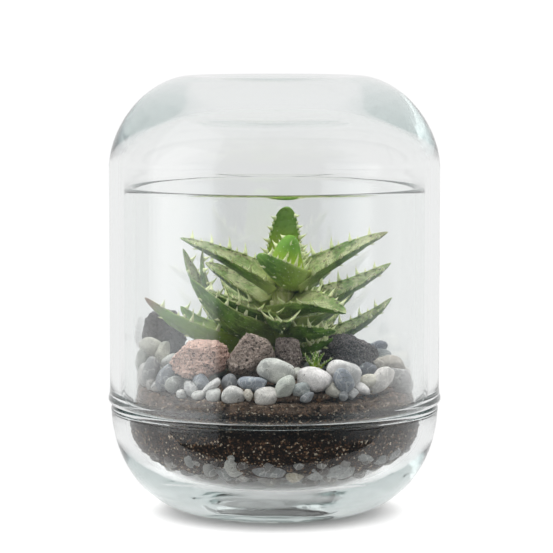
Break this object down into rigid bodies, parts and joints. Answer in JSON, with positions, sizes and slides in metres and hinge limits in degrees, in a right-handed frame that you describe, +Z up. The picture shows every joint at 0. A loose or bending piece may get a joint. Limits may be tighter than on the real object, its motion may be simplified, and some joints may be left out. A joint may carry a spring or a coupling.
{
  "type": "glass plant terrarium",
  "caption": "Round thick-bottomed glass bowl and a tall glass cover standing on its shoulder, holding a small toothed aloe in soil among lava rocks and pale pebbles.",
  "frame": {"origin": "middle of the bowl's flat foot, on the surface that it stands on", "axes": "+Z up along the axis of both glasses; the plant's front, as pictured, faces -Y and its right is +X"},
  "size_m": [0.14, 0.14, 0.185],
  "materials": {
    "clear_glass": "clear, polished",
    "aloe_leaf": "waxy, fine raised dots",
    "aloe_heart": "waxy",
    "aloe_stem": "waxy",
    "potting_soil": "loose, fibrous",
    "pebble": "tumbled",
    "red_lava": "porous",
    "brown_lava": "porous",
    "dark_lava": "porous",
    "black_lava": "porous"
  },
  "bodies": {
    "root": {"glass_bowl": "clear_glass", "glass_cover": "clear_glass", "lava_rock_red": "red_lava", "lava_rock_brown": "brown_lava", "lava_rock_dark": "dark_lava", "lava_rock_black_right": "black_lava", "lava_rock_black_left": "black_lava", "pebble_front_pale": "pebble", "pebble_front_white": "pebble", "pebble_front_round": "pebble", "pebble_front_blue": "pebble", "pebble_slate": "pebble", "pebble_right_tan": "pebble", "pebble_right_white": "pebble", "pebble_right_grey": "pebble", "pebble_right_back_flat": "pebble", "pebble_right_back_blue": "pebble", "pebble_left_wedge": "pebble", "pebble_left_upright": "pebble", "pebble_left_tall": "pebble", "pebble_left_second": "pebble", "pebble_left_leaning": "pebble", "pebble_left_behind": "pebble", "drainage_pebbles": "pebble", "pebble_dressing": "pebble", "potting_soil": "potting_soil", "aloe_stem": "aloe_stem", "aloe_offset": "aloe_leaf", "aloe_leaf_heart_back": "aloe_heart", "aloe_leaf_heart_front": "aloe_heart", "aloe_leaf_front_cup": "aloe_leaf", "aloe_leaf_upper_left": "aloe_leaf", "aloe_leaf_upper_right": "aloe_leaf", "aloe_leaf_upper_back_left": "aloe_leaf", "aloe_leaf_upper_back": "aloe_leaf", "aloe_leaf_upper_back_right": "aloe_leaf", "aloe_leaf_middle_right": "aloe_leaf", "aloe_leaf_middle_front_right": "aloe_leaf", "aloe_leaf_middle_front": "aloe_leaf", "aloe_leaf_middle_front_left": "aloe_leaf", "aloe_leaf_middle_left": "aloe_leaf", "aloe_leaf_middle_back_left": "aloe_leaf", "aloe_leaf_middle_back": "aloe_leaf", "aloe_leaf_middle_back_right": "aloe_leaf", "aloe_leaf_lower_front_left": "aloe_leaf", "aloe_leaf_lower_front_right": "aloe_leaf", "aloe_leaf_lower_left": "aloe_leaf", "aloe_leaf_lower_right": "aloe_leaf", "aloe_leaf_low_far_left": "aloe_leaf", "aloe_leaf_low_left": "aloe_leaf", "aloe_leaf_low_back_left": "aloe_leaf", "aloe_leaf_low_back_right": "aloe_leaf", "aloe_leaf_low_front": "aloe_leaf"}
  },
  "joints": []
}
